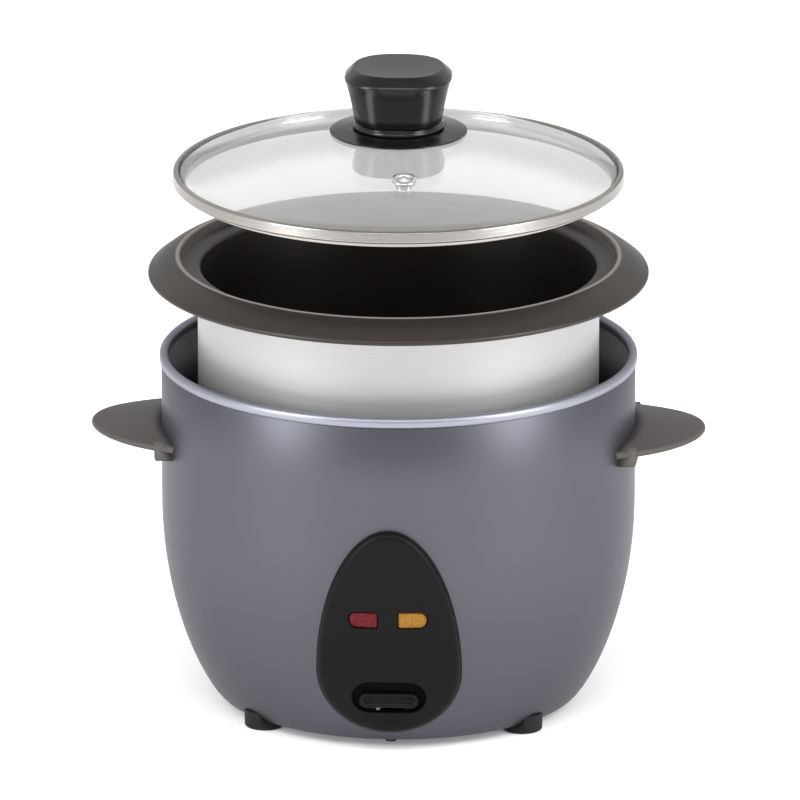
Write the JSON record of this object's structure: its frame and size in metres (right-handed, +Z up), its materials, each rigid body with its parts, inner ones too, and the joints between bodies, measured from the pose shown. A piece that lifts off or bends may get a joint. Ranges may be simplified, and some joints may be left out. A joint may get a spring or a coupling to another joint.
{
  "type": "rice cooker",
  "caption": "Drum-shaped electric rice cooker with side handles, drawn lifted apart: heated base, removable inner pot with a sloping flange, and a knobbed glass lid",
  "frame": {"origin": "on the floor under the middle of the base", "axes": "+Z up, the control panel faces -Y, the handles reach along +X and -X"},
  "size_m": [0.323, 0.2626, 0.3435],
  "materials": {
    "shell_paint": "satin metallic paint",
    "liner_metal": "satin",
    "screw_steel": "bright",
    "foot_rubber": "matte",
    "handle_plastic": "fine grain",
    "panel_plastic": "satin",
    "cook_red": "translucent lens",
    "warm_amber": "translucent lens",
    "lamp_glass": "clear",
    "insulator": "plain",
    "heater_cast": "cast and turned",
    "element_steel": "heat-darkened",
    "sensor_metal": "satin",
    "magnet_ferrite": "sintered",
    "contact_brass": "bright",
    "wire_brown": "cable sheath",
    "wire_blue": "cable sheath",
    "pot_aluminium": "satin outside, dark non-stick coating inside",
    "lid_glass_clear": "clear tempered",
    "band_steel": "brushed",
    "knob_plastic": "glossy with a matte dished top"
  },
  "bodies": {
    "base": {"outer_shell": "shell_paint", "top_rim": "shell_paint", "inner_liner": "liner_metal", "base_plate": "liner_metal", "base_screws": "screw_steel", "foot_front_left": "foot_rubber", "foot_front_right": "foot_rubber", "foot_rear_left": "foot_rubber", "foot_rear_right": "foot_rubber", "handle_left": "handle_plastic", "handle_right": "handle_plastic", "handle_screws": "screw_steel", "control_panel": "panel_plastic", "panel_clips": "panel_plastic", "cook_lens": "cook_red", "warm_lens": "warm_amber", "cook_lamp": "lamp_glass", "warm_lamp": "lamp_glass", "lamp_holder": "insulator", "heater_plate": "heater_cast", "heating_element": "element_steel", "heater_posts": "screw_steel", "heater_screws": "screw_steel", "sensor_guide": "sensor_metal", "sensor_spring": "screw_steel", "switch_frame": "liner_metal", "pivot_pin": "screw_steel", "microswitch": "panel_plastic", "keep_warm_heater": "insulator", "thermal_fuse": "contact_brass", "terminal_block": "insulator", "inlet_housing": "panel_plastic", "inlet_pins": "contact_brass", "wire_live": "wire_brown", "wire_neutral": "wire_blue"},
    "pot": {"inner_pot": "pot_aluminium"},
    "lid": {"lid_glass": "lid_glass_clear", "lid_band": "band_steel", "vent_grommet": "band_steel", "lid_knob": "knob_plastic", "knob_skirt": "knob_plastic", "knob_screw": "screw_steel", "knob_washer": "screw_steel"},
    "cook_lever": {"switch_lever": "liner_metal", "switch_button": "panel_plastic"},
    "magnet_plunger": {"magnet_holder": "liner_metal", "magnet": "magnet_ferrite"},
    "sensor": {"sensor_cap": "sensor_metal", "sensor_ferrite": "magnet_ferrite"}
  },
  "joints": [
    {"name": "pot_lift", "type": "slide", "parent": "base", "child": "pot", "axis": [0, 0, 1], "range_m": [-0.0453, 0.085]},
    {"name": "lid_lift", "type": "slide", "parent": "pot", "child": "lid", "axis": [0, 0, 1], "range_m": [-0.0397, 0.03]},
    {"name": "cook_switch", "type": "hinge", "parent": "base", "child": "cook_lever", "pos_m": [0, -0.078, 0.02], "axis": [1, 0, 0], "range_deg": [0, 7]},
    {"name": "magnet_lift", "type": "slide", "parent": "base", "child": "magnet_plunger", "axis": [0, 0, 1], "range_m": [0, 0.00953]},
    {"name": "sensor_press", "type": "slide", "parent": "base", "child": "sensor", "axis": [0, 0, 1], "range_m": [-0.0025, 0], "stiffness_N_per_m": 400, "springref_m": 0.004, "deforming": ["sensor_spring"]}
  ],
  "couplings": [
    {"joint": "magnet_lift", "follows": "cook_switch", "m_per_rad": 0.078}
  ]
}
